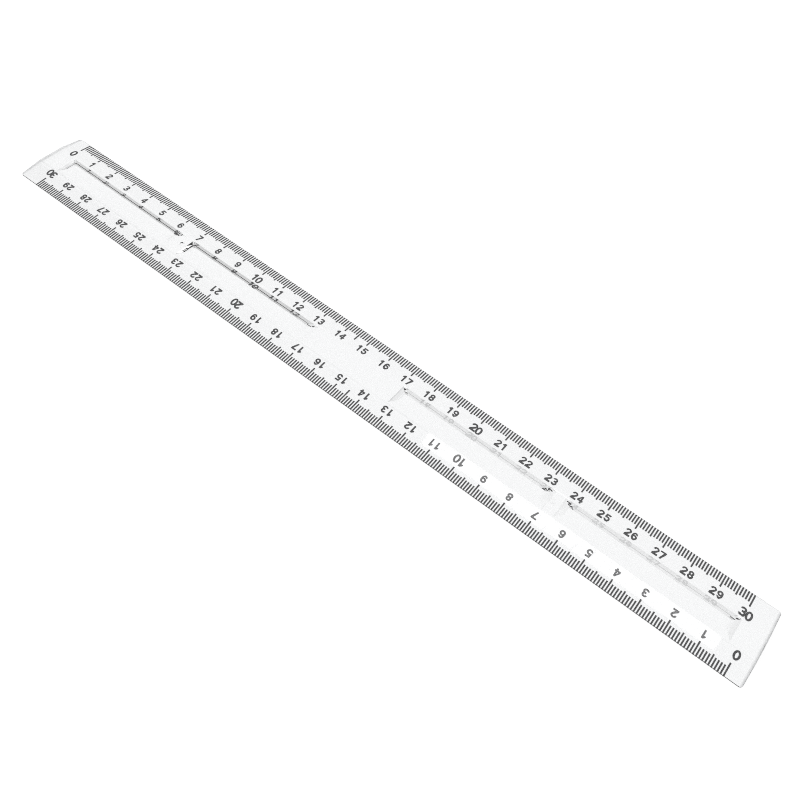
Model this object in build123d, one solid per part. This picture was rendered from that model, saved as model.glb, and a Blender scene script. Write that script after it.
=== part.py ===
from build123d import *
import os

# A clear moulded 30 cm ruler with bevelled long edges, four raised finger-grip ridges with a hollow under
# each, and a printed centimetre scale along both edges. All sizes are millimetres.
# X runs along the ruler, Y across it and Z up. The origin is the middle of the underside.

# The moulded bar
LENGTH = 314.5
WIDTH = 30.0
CORNER_RADIUS = 1.0
EDGE_THICKNESS = 0.45
PLATEAU_THICKNESS = 1.9
PLATEAU_HALF_WIDTH = 5.3

# The finger-grip ridges, two on each side of the plain middle
GRIP_CENTRES = (-117.1, -50.7, 50.7, 117.1)
GRIP_LENGTH = 61.1
GRIP_HALF_WIDTH = 4.72
GRIP_HEIGHT = 0.6
CREST_HALF_WIDTH = 1.27

# The hollow under each ridge
HOLLOW_LENGTH = 62.7
HOLLOW_HALF_WIDTH = 4.5
HOLLOW_ROOF_HALF_WIDTH = 1.7
HOLLOW_DEPTH = 1.15

# The small crater that each of the two moulding gates leaves in the top
GATE_X = 83.1
GATE_MOUTH_RADIUS = 1.15
GATE_FLOOR_RADIUS = 0.75
GATE_DEPTH = 0.3

# The relief that keeps the printed underside clear of the table
RELIEF_HEIGHT = 0.06
RELIEF_START = 4.6
RELIEF_END = 5.25

# The scales: ZERO_INSET is from the ruler's end to the 0 mark
SCALE_CENTIMETRES = 30
ZERO_INSET = 5.75
LONG_MARK = 145
INK_THICKNESS = 0.04
MARK_WIDTH = 0.5
MILLIMETRE_MARK = 3.5
HALF_CENTIMETRE_MARK = 4.1
CENTIMETRE_MARK = 5.0
LONG_MARK_LENGTH = 5.9

# The numerals
DIGIT_HEIGHT = 3.0
DIGIT_WIDTH = 1.95
DIGIT_GAP = 0.35
DIGIT_STROKE = 0.58
NUMERAL_BASE = 9.2
TENS_HEIGHT = 3.5
TENS_BASE = 9.7
ZERO_SHIFT = 0.4


def bar_section():
    """The plate's cross-section: flat relieved underside, thin edges, straight bevels and a flat top."""
    half = [
        (0, 0),
        (RELIEF_START, 0),
        (RELIEF_END, RELIEF_HEIGHT),
        (WIDTH / 2, RELIEF_HEIGHT),
        (WIDTH / 2, EDGE_THICKNESS),
        (PLATEAU_HALF_WIDTH, PLATEAU_THICKNESS),
    ]
    mirrored = [(-y, z) for y, z in reversed(half[1:])]
    outline = Polyline(*half[1:], *mirrored, close=True)
    return Plane.YZ * make_face(outline)


def plate():
    """The section run along the length, with its four corners rounded in plan."""
    bar = extrude(bar_section(), amount=LENGTH / 2, both=True)
    blank = extrude(RectangleRounded(LENGTH, WIDTH, CORNER_RADIUS), amount=2 * PLATEAU_THICKNESS)
    return bar & blank


def hip(length, half_width, top_half_width, height):
    """A hip-roofed solid on Z = 0: sloping long sides, ends mitred at 45 degrees, and a narrow flat top."""
    run = half_width - top_half_width
    base = Rectangle(length, 2 * half_width)
    top = Pos(0, 0, height) * Rectangle(length - 2 * run, 2 * top_half_width)
    return loft([base.face(), top.face()], ruled=True)


def ruler_body():
    """The one moulded piece."""
    body = plate()
    for centre in GRIP_CENTRES:
        ridge = hip(GRIP_LENGTH, GRIP_HALF_WIDTH, CREST_HALF_WIDTH, GRIP_HEIGHT)
        body += Pos(centre, 0, PLATEAU_THICKNESS) * ridge
    for centre in GRIP_CENTRES:
        hollow = hip(HOLLOW_LENGTH, HOLLOW_HALF_WIDTH, HOLLOW_ROOF_HALF_WIDTH, HOLLOW_DEPTH)
        body -= Pos(centre, 0, 0) * hollow
    for x in (-GATE_X, GATE_X):
        crater = Cone(GATE_FLOOR_RADIUS, GATE_MOUTH_RADIUS, GATE_DEPTH)
        body -= Pos(x, 0, PLATEAU_THICKNESS - GATE_DEPTH / 2) * crater
    return body


def mark_kind(millimetre):
    """Which node of the scale a mark belongs to."""
    if millimetre == LONG_MARK:
        return "long_mark"
    if millimetre % 10 == 0:
        return "centimetre_marks"
    if millimetre % 5 == 0:
        return "half_centimetre_marks"
    return "millimetre_marks"


MARK_LENGTHS = {
    "millimetre_marks": MILLIMETRE_MARK,
    "half_centimetre_marks": HALF_CENTIMETRE_MARK,
    "centimetre_marks": CENTIMETRE_MARK,
    "long_mark": LONG_MARK_LENGTH,
}


def ink(face):
    """A printed shape: the face, seen from above, as a thin layer against the relieved underside."""
    return Pos(0, 0, RELIEF_HEIGHT - INK_THICKNESS) * extrude(face, amount=INK_THICKNESS)


def scale_x(millimetre):
    """Where a reading of the far scale lies along the ruler."""
    return -LENGTH / 2 + ZERO_INSET + millimetre


def marks(kind):
    """All marks of one kind on the far scale, from the very edge inwards."""
    length = MARK_LENGTHS[kind]
    bar = ink(Rectangle(MARK_WIDTH, length).face())
    solids = []
    for millimetre in range(10 * SCALE_CENTIMETRES + 1):
        if mark_kind(millimetre) == kind:
            solids.append(Pos(scale_x(millimetre), (WIDTH - length) / 2, 0) * bar)
    return solids


def ring(x, y, half_width, half_height):
    """An oval ring one stroke wide."""
    outer = Ellipse(half_width, half_height)
    inner = Ellipse(half_width - DIGIT_STROKE, half_height - DIGIT_STROKE)
    return Pos(x, y) * (outer - inner)


def box(x_low, y_low, x_high, y_high):
    """A rectangle from its corners."""
    return Pos((x_low + x_high) / 2, (y_low + y_high) / 2) * Rectangle(x_high - x_low, y_high - y_low)


def shape(*points):
    """A straight-sided closed shape."""
    return make_face(Polyline(*points, close=True))


def zero(w, h, t):
    """The figure 0."""
    return ring(w / 2, h / 2, w / 2, h / 2)


def one(w, h, t):
    """The figure 1, with a short flag."""
    left = w / 2 - 0.15
    flag = shape((left, h), (left, h - 1.05), (left - 0.6, h - 1.05), (left - 0.6, h - 0.62))
    return box(left, 0, left + t, h) + flag


def two(w, h, t):
    """The figure 2."""
    turn = h - w / 2
    arch = ring(w / 2, turn, w / 2, w / 2) - box(0, 0, w, turn - 0.05) - box(0, turn - 0.3, w / 2, turn)
    slant = shape((0, 0), (0, t), (w - t, turn), (w - 0.02, turn), (w - 0.2, turn - 0.45), (t, 0))
    return arch + slant + box(0, 0, w, t)


def three(w, h, t):
    """The figure 3: two open bowls joined by a short bar."""
    bowl = (h + t) / 4
    upper = ring(w / 2, h - bowl, w / 2 - 0.08, bowl) - box(0, 0, w / 2, h - bowl + 0.15)
    lower = ring(w / 2, bowl, w / 2, bowl) - box(0, bowl - 0.15, w / 2, h)
    return upper + lower + box(w / 2 - 0.3, h / 2 - t / 2, w / 2 + 0.1, h / 2 + t / 2)


def four(w, h, t):
    """The figure 4."""
    foot, left, right = 0.62, w - 1.35 * t - 0.15, w - 0.35 * t - 0.15
    slant = shape((0, foot), (0, foot + t), (left, h), (right, h), (left, h - 0.75), (0.6, foot + t))
    return box(left, 0, right, h) + box(0, foot, w, foot + t) + slant


def five(w, h, t):
    """The figure 5."""
    belly, shoulder = 1.02, h / 2 - 0.1
    neck = shape((0.3, h), (0.1, shoulder), (0.1 + t, shoulder), (0.3 + t, h))
    bowl = ring(w / 2, belly, w / 2, belly) - box(0, belly - 0.15, w / 2 - 0.2, h)
    return box(0.3, h - t, w - 0.1, h) + neck + bowl + box(0.3, shoulder, 0.8, h / 2 + 0.4)


def six(w, h, t):
    """The figure 6."""
    spine = zero(w, h, t) - box(w / 2, 0, w, h / 2 + 0.3) - box(w / 2, h / 2, w, h - 0.85)
    return ring(w / 2, 1.0, w / 2, 1.0) + spine


def seven(w, h, t):
    """The figure 7."""
    leg = shape((w, h), (w, h - t - 0.1), (0.4 + t, 0), (0.4, 0), (w - 1.25 * t, h - t), (w - 1.25 * t, h))
    return box(0, h - t, w, h) + leg


def eight(w, h, t):
    """The figure 8."""
    bowl = (h + t) / 4
    return ring(w / 2, h - bowl, w / 2 - 0.1, bowl) + ring(w / 2, bowl, w / 2, bowl)


def nine(w, h, t):
    """The figure 9: a 6 turned over."""
    return Pos(w, h) * Rot(0, 0, 180) * six(w, h, t)


FIGURES = (zero, one, two, three, four, five, six, seven, eight, nine)


def numeral(value):
    """The figures of one reading, as faces centred on X = 0 with their foot on Y = 0."""
    figures = [int(character) for character in str(value)]
    total = len(figures) * DIGIT_WIDTH + (len(figures) - 1) * DIGIT_GAP
    placed = []
    for place, figure in enumerate(figures):
        outline = FIGURES[figure](DIGIT_WIDTH, DIGIT_HEIGHT, DIGIT_STROKE)
        placed.append(Pos(place * (DIGIT_WIDTH + DIGIT_GAP) - total / 2, 0) * outline)
    return placed


def numerals():
    """The readings 0 to 30 of the far scale. 0, 10, 20 and 30 are larger than the rest."""
    solids = []
    for value in range(SCALE_CENTIMETRES + 1):
        is_ten = value % 10 == 0
        size = TENS_HEIGHT / DIGIT_HEIGHT if is_ten else 1.0
        base = WIDTH / 2 - TENS_BASE if is_ten else WIDTH / 2 - NUMERAL_BASE
        x = scale_x(10 * value) - (ZERO_SHIFT if value == 0 else 0)
        for figure in numeral(value):
            for face in scale(figure, by=size).faces():
                solids.append(Pos(x, base, 0) * ink(face))
    return solids


def write(name, solids):
    """One STEP file for one named piece, or for one group of like pieces."""
    export_step(Compound(children=solids, label=name), os.path.join("parts", name + ".step"))


os.makedirs("parts", exist_ok=True)
write("ruler_body", ruler_body().solids())
for scale_name, turn in (("far_scale", 0), ("near_scale", 180)):
    for kind in MARK_LENGTHS:
        write(scale_name + "_" + kind, [Rot(0, 0, turn) * solid for solid in marks(kind)])
    write(scale_name + "_numerals", [Rot(0, 0, turn) * solid for solid in numerals()])
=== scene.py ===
import math

import bmesh
import bpy
from mathutils import Matrix, Vector


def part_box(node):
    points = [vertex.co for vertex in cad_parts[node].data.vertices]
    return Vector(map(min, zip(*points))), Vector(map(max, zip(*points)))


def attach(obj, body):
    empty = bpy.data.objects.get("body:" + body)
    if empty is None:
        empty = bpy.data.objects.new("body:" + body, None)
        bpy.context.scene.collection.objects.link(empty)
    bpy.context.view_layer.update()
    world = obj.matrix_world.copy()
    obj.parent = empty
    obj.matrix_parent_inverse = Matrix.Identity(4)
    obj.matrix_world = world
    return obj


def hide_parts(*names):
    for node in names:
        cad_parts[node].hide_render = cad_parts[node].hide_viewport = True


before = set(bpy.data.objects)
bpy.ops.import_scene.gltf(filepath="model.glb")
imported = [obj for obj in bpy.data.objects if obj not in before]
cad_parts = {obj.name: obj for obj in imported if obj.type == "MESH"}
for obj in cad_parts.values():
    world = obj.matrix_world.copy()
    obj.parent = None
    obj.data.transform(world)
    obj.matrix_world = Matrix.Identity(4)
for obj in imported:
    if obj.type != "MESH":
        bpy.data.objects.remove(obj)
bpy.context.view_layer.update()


# ---------------------------------------------------------------------------------------------
# The moulded bar. One shot of clear hard plastic: bevelled plate, four hipped grip ridges and the
# hollows under them. Polished tool faces leave it glassy, with a small radius on its corners, and
# handling has left it finely scratched.
# ---------------------------------------------------------------------------------------------

MM = 0.001
EDGE_RADIUS = 0.18 * MM
SHARP_TURN = math.radians(4)
PLASTIC_TINT = (0.985, 0.99, 0.992, 1)
PLASTIC_IOR = 1.57
LIGHT_PASSED = (0.935, 0.936, 0.937, 1)
# Grey mixed into the plastic's tint at the ends and long edges: painted shade standing in for the
# darker strips seen there.
PAINTED_EDGE_SHADE = (0.38, 0.385, 0.39, 1)
HALF_LENGTH = 157.25 * MM
HALF_WIDTH = 15.0 * MM
# How far in from the ends and the long edges the painted shade reaches, and how dark it gets there.
END_SHADE_BAND = ("X", HALF_LENGTH, 0.9 * MM, 1.0)
SIDE_SHADE_BAND = ("Y", HALF_WIDTH, 0.2 * MM, 0.5)
HAIRLINES = ((0.3, 900.0, 0.70), (1.9, 700.0, 0.72))
RIPPLE_SCALE = 60.0
RIPPLE_STRENGTH = 0.25
RIPPLE_HEIGHT = 0.00005
MERGE_DISTANCE = 0.0005 * MM
FLAT_ANGLE = math.radians(0.2)


def scratch_group():
    """Fine random scratches in one direction: 0 on clean plastic and 1 in a scratch."""
    group = bpy.data.node_groups.new("scratches", "ShaderNodeTree")
    face = group.interface
    for name, value in (("Angle", 0.0), ("Scale", 200.0), ("Threshold", 0.7)):
        face.new_socket(name, in_out="INPUT", socket_type="NodeSocketFloat").default_value = value
    face.new_socket("Coordinates", in_out="INPUT", socket_type="NodeSocketVector")
    face.new_socket("Mask", in_out="OUTPUT", socket_type="NodeSocketFloat")
    nodes, links = group.nodes, group.links
    given = nodes.new("NodeGroupInput")
    result = nodes.new("NodeGroupOutput")
    turn = nodes.new("ShaderNodeVectorRotate")
    turn.rotation_type = "Z_AXIS"
    stretch = nodes.new("ShaderNodeVectorMath")
    stretch.operation = "MULTIPLY"
    stretch.inputs[1].default_value = (1.0, 0.03, 1.0)
    noise = nodes.new("ShaderNodeTexNoise")
    noise.inputs["Detail"].default_value = 2.0
    step = nodes.new("ShaderNodeMapRange")
    step.inputs["To Min"].default_value = 0.0
    step.inputs["To Max"].default_value = 1.0
    upper = nodes.new("ShaderNodeMath")
    upper.operation = "ADD"
    upper.inputs[1].default_value = 0.03
    links.new(given.outputs["Coordinates"], turn.inputs["Vector"])
    links.new(given.outputs["Angle"], turn.inputs["Angle"])
    links.new(turn.outputs[0], stretch.inputs[0])
    links.new(stretch.outputs[0], noise.inputs["Vector"])
    links.new(given.outputs["Scale"], noise.inputs["Scale"])
    links.new(noise.outputs["Fac"], step.inputs["Value"])
    links.new(given.outputs["Threshold"], step.inputs["From Min"])
    links.new(given.outputs["Threshold"], upper.inputs[0])
    links.new(upper.outputs[0], step.inputs["From Max"])
    links.new(step.outputs[0], result.inputs["Mask"])
    return group


scratches = scratch_group()


def painted_edge_shade_group():
    """Where shade is painted along the bar's ends and long edges: 1 on its outer faces, fading to 0
    just inside them.
    """
    group = bpy.data.node_groups.new("painted_edge_shade_mask", "ShaderNodeTree")
    group.interface.new_socket("Coordinates", in_out="INPUT", socket_type="NodeSocketVector")
    group.interface.new_socket("Mask", in_out="OUTPUT", socket_type="NodeSocketFloat")
    nodes, links = group.nodes, group.links
    given = nodes.new("NodeGroupInput")
    result = nodes.new("NodeGroupOutput")
    size = nodes.new("ShaderNodeVectorMath")
    size.operation = "ABSOLUTE"
    links.new(given.outputs["Coordinates"], size.inputs[0])
    split = nodes.new("ShaderNodeSeparateXYZ")
    links.new(size.outputs[0], split.inputs[0])
    reach = []
    for axis, half, depth, strength in (END_SHADE_BAND, SIDE_SHADE_BAND):
        fade = nodes.new("ShaderNodeMapRange")
        fade.inputs["From Min"].default_value = half - depth
        fade.inputs["From Max"].default_value = half
        fade.inputs["To Max"].default_value = strength
        links.new(split.outputs[axis], fade.inputs["Value"])
        reach.append(fade)
    most = nodes.new("ShaderNodeMath")
    most.operation = "MAXIMUM"
    links.new(reach[0].outputs[0], most.inputs[0])
    links.new(reach[1].outputs[0], most.inputs[1])
    patchy = nodes.new("ShaderNodeTexNoise")
    patchy.inputs["Scale"].default_value = 250.0
    links.new(given.outputs["Coordinates"], patchy.inputs["Vector"])
    amount = nodes.new("ShaderNodeMapRange")
    amount.inputs["From Min"].default_value = 0.3
    amount.inputs["From Max"].default_value = 0.7
    amount.inputs["To Min"].default_value = 0.5
    links.new(patchy.outputs["Fac"], amount.inputs["Value"])
    product = nodes.new("ShaderNodeMath")
    product.operation = "MULTIPLY"
    links.new(most.outputs[0], product.inputs[0])
    links.new(amount.outputs[0], product.inputs[1])
    links.new(product.outputs[0], result.inputs["Mask"])
    return group


painted_edge_shade = painted_edge_shade_group()


def clear_plastic():
    """Clear moulded plastic: glassy, with hairline scratches, a little unevenness from the tool, and
    painted shade greying its ends and edges.
    """
    material = bpy.data.materials.new("clear_plastic")
    material.use_nodes = True
    nodes, links = material.node_tree.nodes, material.node_tree.links
    surface = nodes["Principled BSDF"]
    surface.inputs["Metallic"].default_value = 0.0
    surface.inputs["Transmission Weight"].default_value = 1.0
    surface.inputs["IOR"].default_value = PLASTIC_IOR
    where = nodes.new("ShaderNodeTexCoord")
    shaded_edges = nodes.new("ShaderNodeGroup")
    shaded_edges.node_tree = painted_edge_shade
    links.new(where.outputs["Object"], shaded_edges.inputs["Coordinates"])
    # Painted shade: the tint turns grey towards the bar's ends and long edges.
    tint = nodes.new("ShaderNodeMix")
    tint.data_type = "RGBA"
    tint.inputs["A"].default_value = PLASTIC_TINT
    tint.inputs["B"].default_value = PAINTED_EDGE_SHADE
    links.new(shaded_edges.outputs["Mask"], tint.inputs["Factor"])
    links.new(tint.outputs["Result"], surface.inputs["Base Color"])
    fine = []
    for angle, size, threshold in HAIRLINES:
        worn = nodes.new("ShaderNodeGroup")
        worn.node_tree = scratches
        worn.inputs["Angle"].default_value = angle
        worn.inputs["Scale"].default_value = size
        worn.inputs["Threshold"].default_value = threshold
        links.new(where.outputs["Object"], worn.inputs["Coordinates"])
        fine.append(worn)
    both = nodes.new("ShaderNodeMath")
    both.operation = "MAXIMUM"
    links.new(fine[0].outputs["Mask"], both.inputs[0])
    links.new(fine[1].outputs["Mask"], both.inputs[1])
    rough = nodes.new("ShaderNodeMapRange")
    rough.inputs["To Min"].default_value = 0.02
    rough.inputs["To Max"].default_value = 0.22
    links.new(both.outputs[0], rough.inputs["Value"])
    links.new(rough.outputs[0], surface.inputs["Roughness"])
    waves = nodes.new("ShaderNodeTexNoise")
    waves.inputs["Scale"].default_value = RIPPLE_SCALE
    waves.inputs["Detail"].default_value = 1.0
    links.new(where.outputs["Object"], waves.inputs["Vector"])
    bump = nodes.new("ShaderNodeBump")
    bump.inputs["Strength"].default_value = RIPPLE_STRENGTH
    bump.inputs["Distance"].default_value = RIPPLE_HEIGHT
    links.new(waves.outputs["Fac"], bump.inputs["Height"])
    links.new(bump.outputs["Normal"], surface.inputs["Normal"])
    clear = nodes.new("ShaderNodeBsdfTransparent")
    clear.inputs["Color"].default_value = LIGHT_PASSED
    path = nodes.new("ShaderNodeLightPath")
    shader = surface.outputs["BSDF"]
    for ray in ("Is Shadow Ray", "Is Diffuse Ray"):
        choice = nodes.new("ShaderNodeMixShader")
        links.new(path.outputs[ray], choice.inputs["Fac"])
        links.new(shader, choice.inputs[1])
        links.new(clear.outputs["BSDF"], choice.inputs[2])
        shader = choice.outputs[0]
    links.new(shader, nodes["Material Output"].inputs["Surface"])
    return material


def merged_copy(node, name):
    """A joined-up copy of a CAD node's loose triangles, with its flat faces made whole."""
    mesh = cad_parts[node].data.copy()
    mesh.name = name
    mesh.materials.clear()
    work = bmesh.new()
    work.from_mesh(mesh)
    bmesh.ops.remove_doubles(work, verts=work.verts, dist=MERGE_DISTANCE)
    bmesh.ops.dissolve_limit(work, angle_limit=FLAT_ANGLE, verts=work.verts, edges=work.edges)
    work.to_mesh(mesh)
    work.free()
    return mesh


def finished(name, mesh, material, slot, *replaced):
    """Puts a finished mesh in the scene on the ruler's one body, in place of its CAD nodes."""
    piece = bpy.data.objects.new(name, mesh)
    bpy.context.scene.collection.objects.link(piece)
    piece.data.materials.append(material)
    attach(piece, "root")
    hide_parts(*replaced)
    return piece


bar_mesh = merged_copy("ruler_body", "clear_bar")
bar = finished("clear_bar", bar_mesh, clear_plastic(), "clear_plastic", "ruler_body")
radius = bar.modifiers.new("moulded_radius", "BEVEL")
radius.width = EDGE_RADIUS
radius.segments = 3
radius.limit_method = "ANGLE"
radius.angle_limit = SHARP_TURN
radius.use_clamp_overlap = True


# ---------------------------------------------------------------------------------------------
# The printed marks. Black ink on the underside, one bar to each millimetre along both edges,
# longer at the half and whole centimetres. Each is set a hair's breadth into the plastic, so that
# no air shows above it.
# ---------------------------------------------------------------------------------------------

INK_BITE = 0.006 * MM
INK_BLACK = (0.012, 0.012, 0.014)
INK_GREY = (0.035, 0.035, 0.038)


def print_ink():
    """Black printing ink: matt, dense, a little thinner in places."""
    material = bpy.data.materials.new("scale_ink")
    material.use_nodes = True
    nodes, links = material.node_tree.nodes, material.node_tree.links
    surface = nodes["Principled BSDF"]
    surface.inputs["Specular IOR Level"].default_value = 0.3
    where = nodes.new("ShaderNodeTexCoord")
    cover = nodes.new("ShaderNodeTexNoise")
    cover.inputs["Scale"].default_value = 1500.0
    cover.inputs["Detail"].default_value = 3.0
    links.new(where.outputs["Object"], cover.inputs["Vector"])
    shade = nodes.new("ShaderNodeValToRGB")
    shade.color_ramp.elements[0].position = 0.4
    shade.color_ramp.elements[0].color = (*INK_BLACK, 1)
    shade.color_ramp.elements[1].position = 0.75
    shade.color_ramp.elements[1].color = (*INK_GREY, 1)
    links.new(cover.outputs["Fac"], shade.inputs["Fac"])
    links.new(shade.outputs["Color"], surface.inputs["Base Color"])
    rough = nodes.new("ShaderNodeMapRange")
    rough.inputs["To Min"].default_value = 0.45
    rough.inputs["To Max"].default_value = 0.7
    links.new(cover.outputs["Fac"], rough.inputs["Value"])
    links.new(rough.outputs[0], surface.inputs["Roughness"])
    return material


ink = print_ink()


def scale_marks_tree():
    """A row of printed bars: Count of them, Step apart, all Length long and one Edge side in line."""
    tree = bpy.data.node_groups.new("scale_marks", "GeometryNodeTree")
    face = tree.interface
    face.new_socket("Geometry", in_out="OUTPUT", socket_type="NodeSocketGeometry")
    for name in ("Count", "Skip Every", "Skip One"):
        face.new_socket(name, in_out="INPUT", socket_type="NodeSocketInt")
    for name in ("First Centre", "Step", "Bar"):
        face.new_socket(name, in_out="INPUT", socket_type="NodeSocketVector")
    face.new_socket("Ink", in_out="INPUT", socket_type="NodeSocketMaterial")
    nodes, links = tree.nodes, tree.links
    given = nodes.new("NodeGroupInput")
    line = nodes.new("GeometryNodeMeshLine")
    line.mode = "OFFSET"
    links.new(given.outputs["Count"], line.inputs["Count"])
    links.new(given.outputs["First Centre"], line.inputs["Start Location"])
    links.new(given.outputs["Step"], line.inputs["Offset"])
    index = nodes.new("GeometryNodeInputIndex")
    turn = nodes.new("FunctionNodeIntegerMath")
    turn.operation = "MODULO"
    links.new(index.outputs[0], turn.inputs[0])
    links.new(given.outputs["Skip Every"], turn.inputs[1])
    on_turn = nodes.new("FunctionNodeCompare")
    on_turn.data_type = "INT"
    on_turn.operation = "EQUAL"
    links.new(turn.outputs[0], on_turn.inputs["A"])
    many = nodes.new("FunctionNodeCompare")
    many.data_type = "INT"
    many.operation = "GREATER_THAN"
    many.inputs["B"].default_value = 0
    links.new(given.outputs["Skip Every"], many.inputs["A"])
    regular = nodes.new("FunctionNodeBooleanMath")
    regular.operation = "AND"
    links.new(on_turn.outputs[0], regular.inputs[0])
    links.new(many.outputs[0], regular.inputs[1])
    single = nodes.new("FunctionNodeCompare")
    single.data_type = "INT"
    single.operation = "EQUAL"
    links.new(index.outputs[0], single.inputs["A"])
    links.new(given.outputs["Skip One"], single.inputs["B"])
    skipped = nodes.new("FunctionNodeBooleanMath")
    skipped.operation = "OR"
    links.new(regular.outputs[0], skipped.inputs[0])
    links.new(single.outputs[0], skipped.inputs[1])
    keep = nodes.new("GeometryNodeDeleteGeometry")
    links.new(line.outputs["Mesh"], keep.inputs["Geometry"])
    links.new(skipped.outputs[0], keep.inputs["Selection"])
    bar_shape = nodes.new("GeometryNodeMeshCube")
    links.new(given.outputs["Bar"], bar_shape.inputs["Size"])
    place = nodes.new("GeometryNodeInstanceOnPoints")
    links.new(keep.outputs["Geometry"], place.inputs["Points"])
    links.new(bar_shape.outputs["Mesh"], place.inputs["Instance"])
    real = nodes.new("GeometryNodeRealizeInstances")
    links.new(place.outputs["Instances"], real.inputs["Geometry"])
    coat = nodes.new("GeometryNodeSetMaterial")
    links.new(real.outputs["Geometry"], coat.inputs["Geometry"])
    links.new(given.outputs["Ink"], coat.inputs["Material"])
    out = nodes.new("NodeGroupOutput")
    links.new(coat.outputs["Geometry"], out.inputs["Geometry"])
    return tree


marks_tree = scale_marks_tree()


def printed_marks(name, node, count, step, skip_every=0, skip_one=-1):
    """One kind of mark on one scale, on the box of its CAD node, from its lowest X upwards."""
    low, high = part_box(node)
    pitch = step * MM
    width = (high.x - low.x) - pitch * (count - 1)
    if skip_every:
        width = (high.x - low.x) - pitch * (count - 3)
    size = Vector((width, high.y - low.y, high.z - low.z))
    first = Vector((low.x + width / 2, (low.y + high.y) / 2, (low.z + high.z) / 2 + INK_BITE))
    if skip_every:
        first.x -= pitch
    holder = bpy.data.objects.new(name, bpy.data.meshes.new(name))
    bpy.context.scene.collection.objects.link(holder)
    modifier = holder.modifiers.new("marks", "NODES")
    modifier.node_group = marks_tree
    values = {
        "Count": count, "Skip Every": skip_every, "Skip One": skip_one,
        "First Centre": first, "Step": (pitch, 0, 0), "Bar": size, "Ink": ink,
    }
    for item in marks_tree.interface.items_tree:
        if item.in_out == "INPUT":
            modifier[item.identifier] = values[item.name]
    shown = holder.evaluated_get(bpy.context.evaluated_depsgraph_get())
    mesh = bpy.data.meshes.new_from_object(shown)
    mesh.name = name
    mesh.materials.clear()
    bpy.data.objects.remove(holder)
    return finished(name, mesh, ink, "scale_ink", node)


MILLIMETRE_MARKS = 301
CENTIMETRE_MARKS = 31
HALF_MARKS = 30
LONG_HALF_MARK = 14

for side in ("far_scale", "near_scale"):
    printed_marks(side + "_millimetres", side + "_millimetre_marks", MILLIMETRE_MARKS, 1, skip_every=5)
    long_at = LONG_HALF_MARK if side == "far_scale" else HALF_MARKS - 1 - LONG_HALF_MARK
    halves = side + "_half_centimetre_marks"
    printed_marks(side + "_half_centimetres", halves, HALF_MARKS, 10, skip_one=long_at)
    printed_marks(side + "_centimetres", side + "_centimetre_marks", CENTIMETRE_MARKS, 10)
    printed_marks(side + "_middle_mark", side + "_long_mark", 1, 1)


# ---------------------------------------------------------------------------------------------
# The printed numerals, 0 to 30 along each edge, in the same ink. Each scale reads upright from
# its own side, so the near one is turned half round.
# ---------------------------------------------------------------------------------------------

for side in ("far_scale", "near_scale"):
    figures = merged_copy(side + "_numerals", side + "_figures")
    figures.transform(Matrix.Translation((0, 0, INK_BITE)))
    finished(side + "_figures", figures, ink, "scale_ink", side + "_numerals")


# ---------------------------------------------------------------------------------------------
# The studio: a white table, a pale surround that darkens towards the table, and a narrow strip
# light overhead, placed so that its mirror image lies in part of the near bevel.
# ---------------------------------------------------------------------------------------------

TABLE_SIZE = 6.0
TABLE_GAP = 0.02 * MM
STRIP_CENTRE = Vector((0.045, 0.2728, 1.0))
STRIP_SIZE = (0.5, 0.0545)
STRIP_POWER = 0.2
SKY_LIGHT = 1.34
SKY_HORIZON = (0.42, 0.42, 0.42, 1)
SKY_TOP = (1.0, 1.0, 1.0, 1)


def white_table():
    """A matt white surface with the faintest unevenness."""
    material = bpy.data.materials.new("white_table")
    material.use_nodes = True
    nodes, links = material.node_tree.nodes, material.node_tree.links
    surface = nodes["Principled BSDF"]
    surface.inputs["Roughness"].default_value = 0.9
    surface.inputs["Specular IOR Level"].default_value = 0.1
    grain = nodes.new("ShaderNodeTexNoise")
    grain.inputs["Scale"].default_value = 400.0
    shade = nodes.new("ShaderNodeMapRange")
    shade.inputs["To Min"].default_value = 0.9
    shade.inputs["To Max"].default_value = 0.92
    where = nodes.new("ShaderNodeTexCoord")
    links.new(where.outputs["Object"], grain.inputs["Vector"])
    links.new(grain.outputs["Fac"], shade.inputs["Value"])
    links.new(shade.outputs[0], surface.inputs["Base Color"])
    return material


table = bpy.data.meshes.new("table")
half = TABLE_SIZE / 2
outline = ((-half, -half), (half, -half), (half, half), (-half, half))
table.from_pydata([(x, y, -TABLE_GAP) for x, y in outline], [], [(0, 1, 2, 3)])
table.materials.append(white_table())
table_top = bpy.data.objects.new("table", table)
bpy.context.scene.collection.objects.link(table_top)

strip = bpy.data.lights.new("strip", "AREA")
strip.shape = "RECTANGLE"
strip.size, strip.size_y = STRIP_SIZE
strip.energy = STRIP_POWER
strip_light = bpy.data.objects.new("strip", strip)
strip_light.location = STRIP_CENTRE
bpy.context.scene.collection.objects.link(strip_light)

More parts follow.
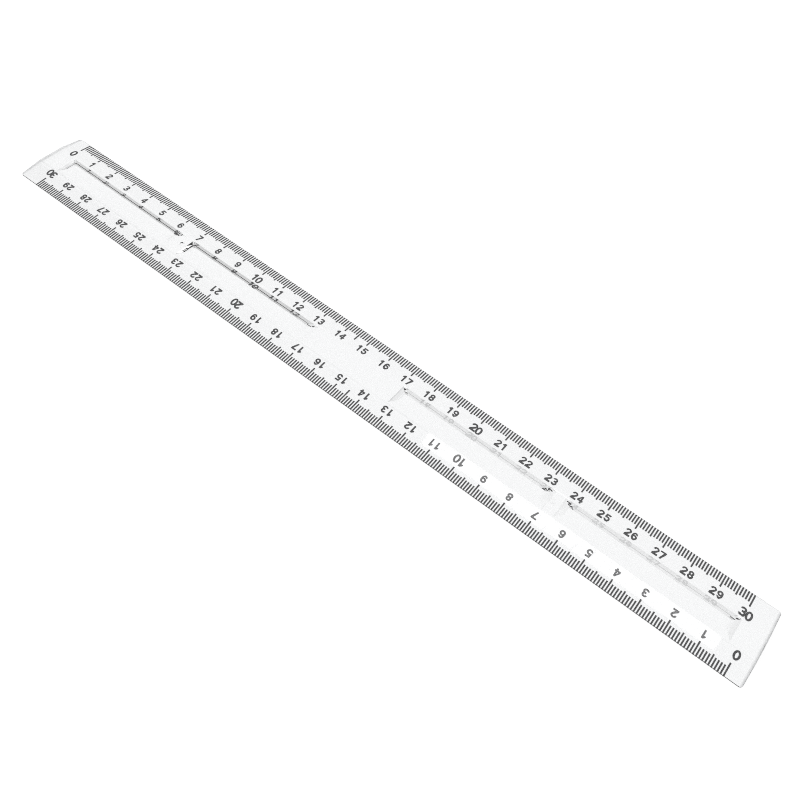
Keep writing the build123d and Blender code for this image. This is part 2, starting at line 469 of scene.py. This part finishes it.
world = bpy.data.worlds.new("studio")
bpy.context.scene.world = world
world.use_nodes = True
sky, wires = world.node_tree.nodes, world.node_tree.links
direction = sky.new("ShaderNodeTexCoord")
split = sky.new("ShaderNodeSeparateXYZ")
ramp = sky.new("ShaderNodeValToRGB")
ramp.color_ramp.elements[0].position = 0.35
ramp.color_ramp.elements[0].color = SKY_HORIZON
ramp.color_ramp.elements[1].position = 0.7
ramp.color_ramp.elements[1].color = SKY_TOP
wires.new(direction.outputs["Generated"], split.inputs[0])
wires.new(split.outputs["Z"], ramp.inputs["Fac"])
seen = sky.new("ShaderNodeLightPath")
pale = sky.new("ShaderNodeMix")
pale.data_type = "RGBA"
pale.inputs["B"].default_value = (1, 1, 1, 1)
wires.new(seen.outputs["Is Camera Ray"], pale.inputs["Factor"])
wires.new(ramp.outputs["Color"], pale.inputs["A"])
wires.new(pale.outputs["Result"], sky["Background"].inputs["Color"])
sky["Background"].inputs["Strength"].default_value = SKY_LIGHT


# ---------------------------------------------------------------------------------------------
# The camera: above the near side, right of the middle, looking down at the ruler from 54 degrees
# and leaning a little, so that the ruler runs from the upper left to the lower right.
# ---------------------------------------------------------------------------------------------

AIM = Vector((13.25, -8.11, 0.0)) * MM
DISTANCE = 300.6 * MM
AZIMUTH = math.radians(31.39)
ELEVATION = math.radians(54.17)
LEAN = math.radians(8.89)
LENS = 39.58
SHIFT = 0.0415

camera = bpy.data.cameras.new("camera")
camera.lens = LENS
camera.sensor_width = 36
camera.shift_x = SHIFT
camera.clip_start = 0.01
viewer = bpy.data.objects.new("camera", camera)
level = math.cos(ELEVATION)
forward = Vector((-math.sin(AZIMUTH) * level, math.cos(AZIMUTH) * level, -math.sin(ELEVATION)))
swing = Matrix.Rotation(AZIMUTH, 4, "Z")
tilt = Matrix.Rotation(math.pi / 2 - ELEVATION, 4, "X")
turn = swing @ tilt @ Matrix.Rotation(LEAN, 4, "Z")
viewer.matrix_world = Matrix.Translation(AIM - forward * DISTANCE) @ turn
bpy.context.scene.collection.objects.link(viewer)
bpy.context.scene.camera = viewer
bpy.context.scene.view_settings.view_transform = "Standard"
# Unblurred and without noise removal, so that the millimetre marks stay apart.
bpy.context.scene.cycles.filter_width = 1.0
bpy.context.scene.cycles.use_denoising = False
bpy.context.scene.cycles.use_adaptive_sampling = False
